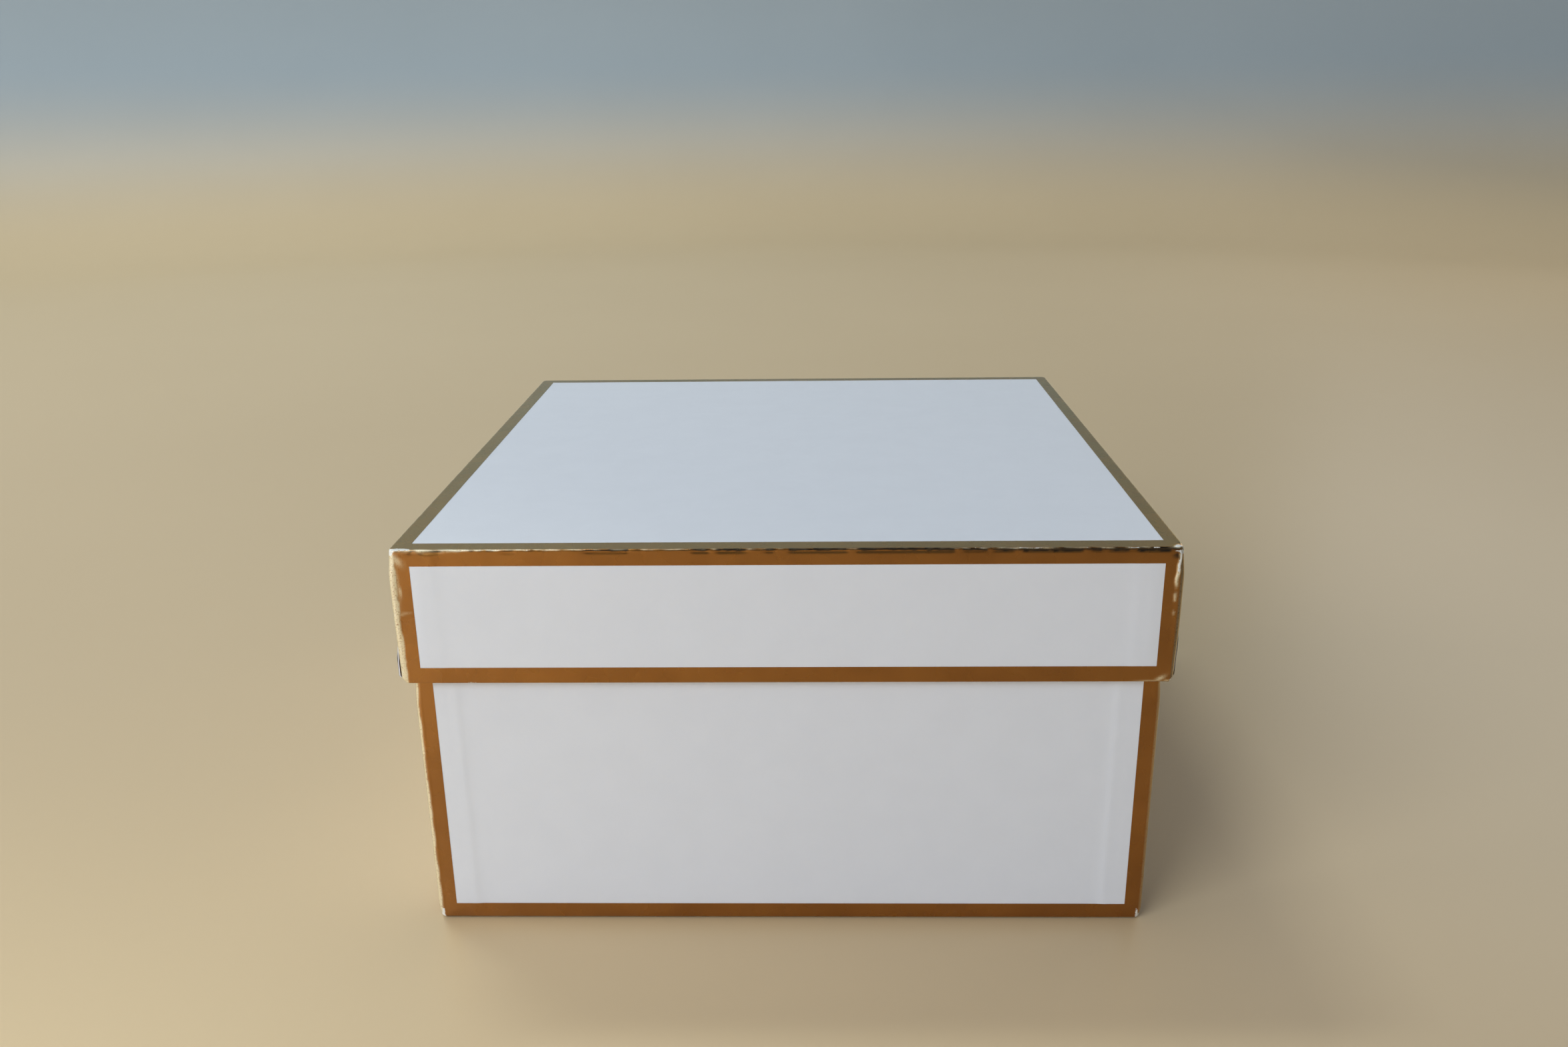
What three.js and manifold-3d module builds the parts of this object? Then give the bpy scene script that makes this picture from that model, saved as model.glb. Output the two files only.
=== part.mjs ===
// A rigid set-up gift box with a lift-off lid. Both halves are trays of greyboard panels whose
// corners are held by paper stay tapes, covered with white wrapping paper that turns in over the
// rim, lined with white paper, and hot-stamped with a gold foil border round every face.
// Millimetres, +Z up, front towards -Y, origin at the centre of the underside.

import * as THREE from 'three';
import { mergeVertices } from 'three/addons/utils/BufferGeometryUtils.js';
import Module from 'manifold-3d';

const wasm = await Module();
wasm.setup();

// Driving sizes of the closed box.
const LID_OUTSIDE = 254;
const LID_WALL = 47;
const CLOSED_HEIGHT = 140.4;
const OVERHANG = 2.8;
const LID_REST_GAP = 0.3;

// Thickness of each layer, and the film of glue left as a gap between two layers.
const BOARD = 1.5;
const TAPE = 0.12;
const WRAP = 0.2;
const FOIL = 0.04;
const LINING = 0.16;
const SHEET = 0.2;
const GLUE = 0.04;

// A layer's distance is how far its surface stands off the taped board, on every face alike.
const WRAP_INNER = GLUE;
const WRAP_OUTER = WRAP_INNER + WRAP;
const FOIL_INNER = WRAP_OUTER + GLUE / 2;
const FOIL_OUTER = FOIL_INNER + FOIL;
const FOLD_EXTRA = 0.06;
const FOLD_STEPS = 3;
const CORNER_STEPS = 6;
const INSIDE_CORNER = 0.3;
const SCORE_GAP = 0.05;

// Lengths of the folded-over margins, and how far the lining stops below the rim.
const RIM_TURN_IN = 18;
const UNDERSIDE_TURN_IN = 15;
const FOIL_TURN_IN = 3;
const UNDERSIDE_FOIL = 3;
const SHEET_CLEARANCE = 0.3;
const LINING_SETBACK = 5;
const STAY_LEG = 14;
const STAY_SETBACK = 0.5;
const WINDOW_CORNER = 0.8;

// Widths of the foil bands round the white windows.
const LID_BANDS = { left: 6.5, right: 5.8, side: 6.0, panel: 5.5, rim: 5.7 };
const LID_TOP_BANDS = { left: 6.0, right: 5.2, front: 6.6, back: 5.4 };
const BASE_BANDS = { left: 6.3, right: 5.9, side: 6.0, panel: 5.8, rim: 6.0 };

const BASE_OUTSIDE = LID_OUTSIDE - 2 * OVERHANG;
const BASE_LIFT = SHEET + GLUE - (FOIL_OUTER - WRAP_OUTER);
const LINED_PANEL = FOIL_OUTER + BOARD + GLUE + LINING;
const BASE_WALL = CLOSED_HEIGHT - LINED_PANEL - LID_REST_GAP - BASE_LIFT;

const MATERIALS = {
  greyboard: new THREE.MeshStandardMaterial({ color: 0x9a9084, roughness: 0.95, metalness: 0 }),
  stay_tape: new THREE.MeshStandardMaterial({ color: 0xcdbb98, roughness: 0.85, metalness: 0 }),
  wrap_paper: new THREE.MeshStandardMaterial({ color: 0xe9e9ec, roughness: 0.5, metalness: 0 }),
  gold_foil: new THREE.MeshStandardMaterial({ color: 0xb98a45, roughness: 0.28, metalness: 1 }),
  lining_paper: new THREE.MeshStandardMaterial({ color: 0xefeeea, roughness: 0.8, metalness: 0 }),
};

function named(name, material, geometry) {
  const mesh = new THREE.Mesh(geometry, MATERIALS[material].clone());
  mesh.name = name;
  return mesh;
}

// Corners of one rounded square, counter-clockwise seen from +Z.
function squareRing({ half, radius, z }) {
  const points = [];
  for (let corner = 0; corner < 4; corner += 1) {
    const start = (corner * Math.PI) / 2;
    const centreX = (half - radius) * (corner === 0 || corner === 3 ? 1 : -1);
    const centreY = (half - radius) * (corner < 2 ? 1 : -1);
    for (let step = 0; step <= CORNER_STEPS; step += 1) {
      const angle = start + ((Math.PI / 2) * step) / CORNER_STEPS;
      points.push([centreX + radius * Math.cos(angle), centreY + radius * Math.sin(angle), z]);
    }
  }
  return points;
}

// Joins rounded squares into one closed body: a loop of them bent from a band of paper, or a
// stack of them closed by a flat sheet at each end. The section runs outside before inside.
function ringBody(rings, looped) {
  const positions = rings.flatMap((ring) => squareRing(ring)).flat();
  const count = 4 * (CORNER_STEPS + 1);
  const indices = [];
  const spans = looped ? rings.length : rings.length - 1;
  for (let ring = 0; ring < spans; ring += 1) {
    const low = ring * count;
    const high = ((ring + 1) % rings.length) * count;
    for (let point = 0; point < count; point += 1) {
      const next = (point + 1) % count;
      indices.push(low + point, low + next, high + next);
      indices.push(low + point, high + next, high + point);
    }
  }
  if (!looped) {
    const last = (rings.length - 1) * count;
    for (let point = 1; point < count - 1; point += 1) {
      indices.push(0, point + 1, point);
      indices.push(last, last + point, last + point + 1);
    }
  }
  const geometry = new THREE.BufferGeometry();
  geometry.setAttribute('position', new THREE.Float32BufferAttribute(positions, 3));
  geometry.setIndex(indices);
  geometry.computeVertexNormals();
  return geometry;
}

function solid(geometry) {
  const bare = geometry.clone();
  bare.deleteAttribute('normal');
  bare.deleteAttribute('uv');
  const merged = mergeVertices(bare);
  return new wasm.Manifold(new wasm.Mesh({
    numProp: 3,
    vertProperties: merged.attributes.position.array,
    triVerts: new Uint32Array(merged.index.array),
  }));
}

function geometryOf(manifold) {
  const mesh = manifold.getMesh();
  const geometry = new THREE.BufferGeometry();
  geometry.setAttribute('position', new THREE.Float32BufferAttribute(mesh.vertProperties, 3));
  geometry.setIndex([...mesh.triVerts]);
  geometry.computeVertexNormals();
  return geometry;
}

// A tray standing open side up. Its foil lies from z = 0, on the closed panel, to z = height.
function traySizes(outside, height) {
  const skinHalf = outside / 2 - FOIL_OUTER;
  const boardHalf = skinHalf - GLUE - TAPE;
  return {
    skinHalf,
    boardHalf,
    insideHalf: boardHalf - BOARD,
    panelZ: FOIL_OUTER,
    rimZ: height - FOIL_OUTER,
  };
}

// A quarter turn of rings round a fold in the paper, from angle `from` in right angles.
function foldRings(half, z, radius, from, cornerRadius) {
  const rings = [];
  for (let step = 0; step <= FOLD_STEPS; step += 1) {
    const angle = ((from + step / FOLD_STEPS) * Math.PI) / 2;
    const ringHalf = half + radius * Math.cos(angle);
    rings.push({ half: ringHalf, radius: cornerRadius(ringHalf), z: z + radius * Math.sin(angle) });
  }
  return rings;
}

// The surface a layer makes at one distance off the board: along the closed panel from
// `margin` inside the wall, up the wall, over the rim and down the inside by `turnIn`.
function layerRings(tray, distance, margin, turnIn) {
  const fold = distance + FOLD_EXTRA;
  const outer = tray.skinHalf + distance;
  const inner = tray.insideHalf - distance;
  const low = tray.panelZ - distance;
  const high = tray.rimZ + distance;
  const outsideRadius = (half) => half - tray.insideHalf;
  const rings = [];
  if (margin > 0) {
    const marginHalf = tray.skinHalf - margin;
    rings.push({ half: marginHalf, radius: INSIDE_CORNER, z: low });
  }
  rings.push(...foldRings(outer - fold, low + fold, fold, -1, outsideRadius));
  rings.push(...foldRings(outer - fold, high - fold, fold, 0, outsideRadius));
  rings.push(...foldRings(inner + fold, high - fold, fold, 1, () => INSIDE_CORNER));
  rings.push({ half: inner, radius: INSIDE_CORNER, z: tray.rimZ - turnIn });
  return rings;
}

// A layer with thickness: out along its outer surface, back along its inner one. Without a
// margin the layer covers the whole closed panel.
function layerBody(tray, innerDistance, outerDistance, margin, turnIn) {
  const outward = layerRings(tray, outerDistance, margin, turnIn);
  const homeward = layerRings(tray, innerDistance, margin, turnIn).reverse();
  return ringBody([...outward, ...homeward], margin > 0);
}

// A window's outline with small round corners, pushed `reach` both ways along Z as a cutter.
function windowPrism(left, right, low, high, reach) {
  const r = WINDOW_CORNER;
  const outline = new THREE.Shape();
  outline.moveTo(left + r, low);
  outline.lineTo(right - r, low);
  outline.absarc(right - r, low + r, r, -Math.PI / 2, 0);
  outline.lineTo(right, high - r);
  outline.absarc(right - r, high - r, r, 0, Math.PI / 2);
  outline.lineTo(left + r, high);
  outline.absarc(left + r, high - r, r, Math.PI / 2, Math.PI);
  outline.lineTo(left, low + r);
  outline.absarc(left + r, low + r, r, Math.PI, 1.5 * Math.PI);
  const depth = 2 * reach;
  const prism = new THREE.ExtrudeGeometry(outline, { depth, bevelEnabled: false, curveSegments: 3 });
  return prism.translate(0, 0, -reach);
}

// The foil border: a thin skin over a tray's edges, with a window cut on each face. One cutter
// opens the front and back, another the two sides.
function foilBody(tray, outside, height, bands, margin, topBands) {
  let border = solid(layerBody(tray, FOIL_INNER, FOIL_OUTER, margin, FOIL_TURN_IN));
  const half = outside / 2;
  const low = bands.panel;
  const high = height - bands.rim;
  const front = windowPrism(bands.left - half, half - bands.right, low, high, outside);
  const sides = windowPrism(bands.side - half, half - bands.side, low, high, outside);
  border = border.subtract(solid(front.rotateX(Math.PI / 2)));
  border = border.subtract(solid(sides.rotateX(Math.PI / 2).rotateZ(Math.PI / 2)));
  if (topBands) {
    const panel = windowPrism(
      topBands.left - half,
      half - topBands.right,
      topBands.back - half,
      half - topBands.front,
      BOARD,
    );
    border = border.subtract(solid(panel));
  }
  return geometryOf(border);
}

// A strip of tape folded round one upright corner, in the plane, with its corner at +X +Y.
function stayOutline(tray) {
  const centre = tray.insideHalf;
  const innerRadius = BOARD + GLUE;
  const outerRadius = innerRadius + TAPE;
  const end = tray.boardHalf - STAY_LEG;
  const outline = new THREE.Shape();
  outline.moveTo(centre + innerRadius, end);
  outline.lineTo(centre + outerRadius, end);
  outline.lineTo(centre + outerRadius, centre);
  outline.absarc(centre, centre, outerRadius, 0, Math.PI / 2);
  outline.lineTo(end, centre + outerRadius);
  outline.lineTo(end, centre + innerRadius);
  outline.lineTo(centre, centre + innerRadius);
  outline.absarc(centre, centre, innerRadius, Math.PI / 2, 0, true);
  return outline;
}

// The closed panel and four walls. The walls stand round the panel, and each upright corner
// between two walls is left open, as in a blank with square corners cut away.
function boards(prefix, panelName, tray) {
  const length = 2 * (tray.insideHalf - SCORE_GAP);
  const wallHeight = tray.rimZ - tray.panelZ;
  const wallMiddle = (tray.rimZ + tray.panelZ) / 2;
  const wallOffset = tray.insideHalf + BOARD / 2;
  const panel = new THREE.BoxGeometry(length, length, BOARD);
  panel.translate(0, 0, tray.panelZ + BOARD / 2);
  const meshes = [named(`${prefix}_board_${panelName}`, 'greyboard', panel)];
  const walls = { front: [0, -1], back: [0, 1], left: [-1, 0], right: [1, 0] };
  for (const [side, [x, y]] of Object.entries(walls)) {
    const wall = new THREE.BoxGeometry(x ? BOARD : length, y ? BOARD : length, wallHeight);
    const mesh = named(`${prefix}_board_${side}`, 'greyboard', wall);
    mesh.position.set(x * wallOffset, y * wallOffset, wallMiddle);
    meshes.push(mesh);
  }
  return meshes;
}

function stays(prefix, tray) {
  const depth = tray.rimZ - tray.panelZ - 2 * STAY_SETBACK;
  const strip = new THREE.ExtrudeGeometry(stayOutline(tray), {
    depth,
    bevelEnabled: false,
    curveSegments: CORNER_STEPS,
  });
  const corners = ['back_right', 'back_left', 'front_left', 'front_right'];
  return corners.map((corner, turn) => {
    const mesh = named(`${prefix}_stay_${corner}`, 'stay_tape', strip);
    mesh.position.z = tray.panelZ + STAY_SETBACK;
    mesh.rotation.z = (turn * Math.PI) / 2;
    return mesh;
  });
}

// One die-cut sheet that lines the panel and runs up the walls over the turned-in wrap.
function liningBody(tray) {
  const outer = tray.insideHalf - WRAP_OUTER - GLUE;
  const inner = outer - LINING;
  const low = tray.panelZ + BOARD + GLUE;
  const top = tray.rimZ - LINING_SETBACK;
  return ringBody([
    { half: outer, radius: INSIDE_CORNER, z: low },
    { half: outer, radius: INSIDE_CORNER, z: top },
    { half: inner, radius: INSIDE_CORNER, z: top },
    { half: inner, radius: INSIDE_CORNER, z: low + LINING },
  ], false);
}

function bottomSheetBody(tray) {
  const width = 2 * (tray.skinHalf - UNDERSIDE_FOIL - SHEET_CLEARANCE);
  return new THREE.BoxGeometry(width, width, SHEET).translate(0, 0, SHEET / 2);
}

function makeBase() {
  const tray = traySizes(BASE_OUTSIDE, BASE_WALL);
  const wrap = layerBody(tray, WRAP_INNER, WRAP_OUTER, UNDERSIDE_TURN_IN, RIM_TURN_IN);
  const foil = foilBody(tray, BASE_OUTSIDE, BASE_WALL, BASE_BANDS, UNDERSIDE_FOIL, null);
  const raised = new THREE.Group();
  raised.position.z = BASE_LIFT;
  raised.add(...boards('base', 'floor', tray), ...stays('base', tray));
  raised.add(named('base_wrap', 'wrap_paper', wrap));
  raised.add(named('base_foil', 'gold_foil', foil));
  raised.add(named('base_lining', 'lining_paper', liningBody(tray)));
  const base = new THREE.Group();
  base.add(raised, named('base_bottom_sheet', 'lining_paper', bottomSheetBody(tray)));
  return base;
}

// The lid is the same kind of tray turned over about the X axis, so its front stays in front
// only after its front and back names are swapped.
function makeLid() {
  const tray = traySizes(LID_OUTSIDE, LID_WALL);
  const wrap = layerBody(tray, WRAP_INNER, WRAP_OUTER, 0, RIM_TURN_IN);
  const foil = foilBody(tray, LID_OUTSIDE, LID_WALL, LID_BANDS, 0, LID_TOP_BANDS);
  const lid = new THREE.Group();
  lid.rotation.x = Math.PI;
  lid.position.z = CLOSED_HEIGHT;
  const framework = [...boards('lid', 'top', tray), ...stays('lid', tray)];
  const turned = { front: 'back', back: 'front' };
  for (const mesh of framework) {
    mesh.name = mesh.name.replace(/front|back/, (side) => turned[side]);
  }
  lid.add(...framework);
  lid.add(named('lid_wrap', 'wrap_paper', wrap));
  lid.add(named('lid_foil', 'gold_foil', foil));
  lid.add(named('lid_lining', 'lining_paper', liningBody(tray)));
  return lid;
}

const giftBox = new THREE.Group();
giftBox.add(makeBase(), makeLid());

export default giftBox;
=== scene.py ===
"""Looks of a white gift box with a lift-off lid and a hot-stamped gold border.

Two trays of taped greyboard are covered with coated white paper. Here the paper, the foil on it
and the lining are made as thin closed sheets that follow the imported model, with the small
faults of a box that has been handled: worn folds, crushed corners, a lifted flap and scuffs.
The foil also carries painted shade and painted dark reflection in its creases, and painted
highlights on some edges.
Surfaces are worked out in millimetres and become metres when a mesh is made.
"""
import math

import bpy
import numpy as np
from mathutils import Matrix, Vector


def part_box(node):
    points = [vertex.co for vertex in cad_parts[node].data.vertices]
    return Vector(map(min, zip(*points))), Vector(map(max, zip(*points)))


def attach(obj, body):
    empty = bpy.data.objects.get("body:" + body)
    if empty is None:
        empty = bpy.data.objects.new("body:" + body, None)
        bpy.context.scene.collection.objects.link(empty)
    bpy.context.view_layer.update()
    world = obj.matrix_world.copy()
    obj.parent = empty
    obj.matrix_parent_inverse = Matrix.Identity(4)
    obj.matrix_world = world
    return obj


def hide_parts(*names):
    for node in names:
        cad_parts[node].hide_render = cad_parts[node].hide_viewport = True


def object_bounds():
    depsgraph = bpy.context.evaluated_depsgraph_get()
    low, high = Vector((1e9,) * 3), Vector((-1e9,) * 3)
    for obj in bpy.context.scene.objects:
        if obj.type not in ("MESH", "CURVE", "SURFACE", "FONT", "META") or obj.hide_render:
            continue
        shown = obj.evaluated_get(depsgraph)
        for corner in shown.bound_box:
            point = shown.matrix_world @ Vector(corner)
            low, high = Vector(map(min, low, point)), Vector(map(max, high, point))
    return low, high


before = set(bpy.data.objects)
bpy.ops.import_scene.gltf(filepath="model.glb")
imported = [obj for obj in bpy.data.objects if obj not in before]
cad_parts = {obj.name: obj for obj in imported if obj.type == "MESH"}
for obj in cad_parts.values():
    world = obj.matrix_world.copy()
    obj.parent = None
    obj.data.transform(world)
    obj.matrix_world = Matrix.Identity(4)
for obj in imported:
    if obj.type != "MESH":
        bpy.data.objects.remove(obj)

cad_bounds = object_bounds()

MM = 0.001

# Layers of the skin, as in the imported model.
GLUE = 0.04
PAPER = 0.2
FOIL = 0.04
FOIL_TOP = 0.06
STAMPED_DEPTH = 0.1
LINING = 0.16

# Folded margins.
RIM_TURN_IN = 18.0
UNDERSIDE_TURN_IN = 15.0
FOIL_TURN_IN = 3.0

# The tape inside each upright corner: its width on each side, and how far it and its free edge
# lift the paper over it.
STAY_LEG = 14.0
STAY_TAPE = 0.14
STAY_RIDGE = 0.08

# Radii of the folds, and of the upright corners.
PANEL_FOLD = 0.6
RIM_FOLD = 0.5
CORNER = 2.0
INSIDE_CORNER = 0.3

# Edges that turn by more degrees than this are shaded sharp.
SHARP_EDGE = 48

# A side flap's free edge lies SEAM from each upright corner, over an EAR of the front sheet. It
# is one with the ear at the closed panel's fold, and from SEAM_START on it stands off it.
SEAM = 2.5
EAR = 4.0
SEAM_START = 3.0
FLAP_RISE = 0.24

# The lid's two front flaps have come unglued near the rim. For the left and the right one: how
# far from the closed panel it lifts, and by how much, over a PEEL_RUN. Frayed edges are thicker.
PEEL_START = (33.5, 29.0)
PEEL = (0.85, 0.42)
PEEL_RUN = 6.0
FRAYED = 0.2

# How much fuller than the board in them the wrapped front corners stand.
FULL_LID_CORNER = 0.9
FULL_BASE_CORNER = 0.5

# Widths of the foil bands, from the outside of the foil.
LID_BANDS = {"left": 6.5, "right": 5.8, "side": 6.0, "panel": 5.5, "rim": 5.7}
LID_TOP_BANDS = {"left": 6.0, "right": 5.2, "front": 6.6, "back": 5.4}
UNDERSIDE_BANDS = dict.fromkeys(("left", "right", "front", "back"), 3.0)
BASE_BANDS = {"left": 6.3, "right": 5.9, "side": 6.0, "panel": 5.8, "rim": 6.0}

SIDES = {"front": (0, -1), "back": (0, 1), "left": (-1, 0), "right": (1, 0)}

# Each kind of sheet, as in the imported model: the end of its own name here, and its slot.
KINDS = {
    "wrap": ("_wrapping", "wrap_paper"),
    "foil": ("_foil_border", "gold_foil"),
    "lining": ("_lining_sheet", "lining_paper"),
}

# What each column of a sheet's vertex rows holds.
X, Y, H, OUT, RIMWARD, LAYER = range(6)

# Creases pressed into the foil just below the lid's front fold: start and end along the front,
# from its middle, and how strong each one is. Each one is dented into the foil and also painted
# dark there as painted shade.
FOLD_CREASES = (
    (-120.6, -118.7, 0.7), (-117.0, -110.0, 0.8), (-90.0, -86.5, 0.45), (-63.5, -49.3, 0.65),
    (-29.6, -23.9, 0.85), (-21.3, -11.7, 0.95), (-6.3, -2.9, 0.75), (1.6, 20.0, 0.9),
    (23.2, 54.5, 1.0), (57.0, 65.0, 0.65), (66.7, 73.7, 0.8), (76.5, 94.9, 1.0),
    (98.0, 101.5, 0.75), (103.5, 110.0, 0.95), (111.5, 123.0, 1.0),
)

# Small marks on the front. Each one: its tray, what it changes, its middle (along the front and
# away from the closed panel), its slope in degrees, half its length and width, and its strength.
# The marks that make the foil pale are partly rubbing and partly painted highlight.
MARKS = (
    ("lid", "scuff_and_highlight", -124.6, 3.2, 50, 2.4, 1.1, 0.75),
    ("lid", "scuff_and_highlight", -125.0, 12.0, 90, 6.0, 0.7, 0.45),
    ("lid", "scuff_and_highlight", -124.3, 14.0, 85, 1.9, 0.4, 0.8),
    ("lid", "scuff_and_highlight", -124.5, 22.0, -8, 2.4, 0.35, 0.6),
    ("lid", "wear", -104.0, 46.6, 0, 3.0, 0.3, 0.62),
    ("lid", "scuff_and_highlight", 122.7, 45.6, -30, 1.9, 0.7, 0.9),
    ("lid", "scuff_and_highlight", 124.9, 46.4, 0, 1.0, 0.4, 0.8),
    ("lid", "scuff_and_highlight", 119.0, 46.7, 0, 4.0, 0.4, 0.8),
    ("base", "wear", -122.9, 2.2, 90, 2.2, 0.7, 0.85),
    ("base", "wear", 122.7, 2.2, 90, 2.2, 0.6, 0.8),
    ("base", "scuff_and_highlight", -123.4, 9.0, 90, 12.0, 0.5, 0.8),
)


# ---- small maths

def smooth(low, high, value):
    """0 below low, 1 above high, with a soft turn between them."""
    t = np.clip((value - low) / (high - low), 0, 1)
    return t * t * (3 - 2 * t)


def fade(low, high, value):
    """1 below low, 0 above high, with a soft turn between them."""
    return 1 - smooth(low, high, value)


def bell(value, centre, width):
    """A soft hump, 1 at its centre."""
    return np.exp(-(((value - centre) / width) ** 2))


def lattice(ix, iy, iz, seed):
    """A repeatable random number from -1 to 1 at each point of a grid."""
    n = (ix * 73856093) ^ (iy * 19349663) ^ (iz * 83492791) ^ (seed * 374761393)
    n = (n ^ (n >> 13)) & 0xFFFFFFFF
    n = (n * 1274126177) & 0xFFFFFFFF
    n = n ^ (n >> 16)
    return (n & 0xFFFF) / 32767.5 - 1


def noise(points, size, seed):
    """Soft random values from -1 to 1 over points in mm, with lumps of the given size."""
    p = points[:, :3] / size
    cell = np.floor(p).astype(np.int64)
    f = p - cell
    f = f * f * f * (f * (f * 6 - 15) + 10)
    total = np.zeros(len(p))
    for corner in np.ndindex(2, 2, 2):
        share = np.where(corner, f, 1 - f)
        total += share[:, 0] * share[:, 1] * share[:, 2] * lattice(*(cell + corner).T, seed)
    return total


# ---- the trays

def box_mm(node):
    """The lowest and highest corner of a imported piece, in mm."""
    low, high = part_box(node)
    return np.array(low) / MM, np.array(high) / MM


class Tray:
    """One half of the box. A point on it has x and y as in the frame, and a height h counted
    from the closed panel towards the rim, so both halves use the same rules."""

    def __init__(self, name, bands, panel_bands, standing):
        low, high = box_mm(name + "_wrap")
        lining_high = box_mm(name + "_lining")[1]
        self.name = name
        self.bands = bands
        self.panel_bands = panel_bands
        self.half = high[0]
        self.thickness = high[0] - lining_high[0] - GLUE
        self.height = high[2] - low[2]
        self.panel_z = low[2] if standing else high[2]
        self.up = 1 if standing else -1

    def corner_radius(self, x, y, h):
        """The lid's front left corner has been pressed rounder towards its rim."""
        radius = np.full(len(x), CORNER)
        if self.name == "lid":
            pressed = (x < 0) & (y < 0)
            radius = np.where(pressed, 1.7 + 0.9 * h / self.height, radius)
        return radius


BASE = Tray("base", BASE_BANDS, UNDERSIDE_BANDS, True)
LID = Tray("lid", LID_BANDS, LID_TOP_BANDS, False)


# ---- sheets that follow a tray

class Sheet:
    """Grid patches over a tray's sharp outline. Each vertex keeps its sharp place, the zone's
    own normal as (outwards, towards the rim), and a layer that keeps overlapping flaps apart."""

    def __init__(self, tray):
        self.tray = tray
        self.rows = []
        self.quads = []
        self.count = 0

    def patch(self, x, y, h, out, rimward, layer, keep):
        """Adds a grid of vertices, and those of its faces that are to be kept."""
        shape = x.shape
        columns = [x, y, h, np.full(shape, float(out)), np.full(shape, float(rimward)), layer]
        self.rows.append(np.stack([c.ravel() for c in columns], 1))
        index = self.count + np.arange(x.size).reshape(shape)
        quads = np.stack([index[:-1, :-1], index[1:, :-1], index[1:, 1:], index[:-1, 1:]], -1)
        self.quads.append(quads[keep].reshape(-1, 4))
        self.count += x.size

    def panel(self, xs, ys, keep):
        """Adds a grid over the closed panel."""
        x, y = np.meshgrid(xs, ys, indexing="ij")
        middle = np.meshgrid((xs[1:] + xs[:-1]) / 2, (ys[1:] + ys[:-1]) / 2, indexing="ij")
        self.patch(x, y, x * 0, 0, -1, x * 0, keep(*middle))

    def wall(self, side, along, path, out, rimward, keep, layer=None):
        """Sweeps a path of (depth, height) points along one side."""
        half = self.tray.half
        a, step = np.meshgrid(along, np.arange(len(path)), indexing="ij")
        depth = path[step, 0]
        h = path[step, 1]
        nx, ny = SIDES[side]
        scaled = a * (half - depth) / half
        x = nx * (half - depth) + (scaled if ny else 0)
        y = ny * (half - depth) + (scaled if nx else 0)
        mid_a, mid_h = np.meshgrid(
            (along[1:] + along[:-1]) / 2, (path[1:, 1] + path[:-1, 1]) / 2, indexing="ij"
        )
        layers = a * 0 if layer is None else layer(a, h)
        self.patch(x, y, h, out, rimward, layers, keep(mid_a, mid_h))

    def merged(self):
        """Vertices of all patches joined where their sharp places agree."""
        rows = np.concatenate(self.rows)
        quads = np.concatenate(self.quads)
        used, quads = np.unique(quads, return_inverse=True)
        quads = quads.reshape(-1, 4)
        rows = rows[used]
        keys = np.round(rows[:, [X, Y, H, LAYER]] * 1000).astype(np.int64)
        _, first, joined = np.unique(keys, axis=0, return_index=True, return_inverse=True)
        return rows[first], joined.reshape(-1)[quads]


def round_section(tray, depth, h, out, rimward):
    """Turns the sharp folds of the wall's section into arcs. Returns the new depth and height
    and the normal as its outward and rimward parts."""
    corners = (
        (0, 0, 1, 1, PANEL_FOLD),
        (0, tray.height, 1, -1, RIM_FOLD),
        (tray.thickness, tray.height, -1, -1, RIM_FOLD),
    )
    depth, h, out, rimward = (np.array(v, float) for v in (depth, h, out, rimward))
    new_depth, new_h = depth.copy(), h.copy()
    for corner_depth, corner_h, inward, down, radius in corners:
        u = (depth - corner_depth) * inward
        w = (h - corner_h) * down
        near = (u > -0.001) & (w > -0.001) & (u < radius) & (w < radius)
        qu, qw = radius - u, radius - w
        length = np.maximum(np.hypot(qu, qw), 1e-6)
        new_depth = np.where(near, corner_depth + inward * radius * (1 - qu / length), new_depth)
        new_h = np.where(near, corner_h + down * radius * (1 - qw / length), new_h)
        out = np.where(near, inward * qu / length, out)
        rimward = np.where(near, -down * qw / length, rimward)
    return new_depth, new_h, out, rimward


def place(tray, rows, offset):
    """Positions and normals in the frame, in mm, of sharp rows lifted by offset off the paper."""
    x, y, h, out, rimward = rows[:, :5].T
    depth = tray.half - np.maximum(np.abs(x), np.abs(y))
    new_depth, new_h, out, rimward = round_section(tray, depth, h, out, rimward)
    ring = tray.half - new_depth
    stretch = ring / np.maximum(tray.half - depth, 1e-6)
    ax, ay = np.abs(x) * stretch, np.abs(y) * stretch
    smallest = np.where(h > 1, INSIDE_CORNER, 0)
    radius = np.maximum(tray.corner_radius(x, y, h) - new_depth, smallest)
    centre = ring - radius
    vx, vy = ax - centre, ay - centre
    round_here = (vx > 0) & (vy > 0) & (radius > 0)
    length = np.maximum(np.hypot(vx, vy), 1e-6)
    pull = np.maximum(vx, vy) / length
    ax = np.where(round_here, centre + vx * pull, ax)
    ay = np.where(round_here, centre + vy * pull, ay)
    nx = np.where(round_here, vx / length, (ax >= ay) * 1.0)
    ny = np.where(round_here, vy / length, (ay > ax) * 1.0)
    nx = nx * np.sign(x) * out
    ny = ny * np.sign(y) * out
    position = np.stack([
        ax * np.sign(x) + nx * offset,
        ay * np.sign(y) + ny * offset,
        tray.panel_z + tray.up * (new_h + rimward * offset),
    ], 1)
    return position, np.stack([nx, ny, tray.up * rimward], 1)


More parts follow.
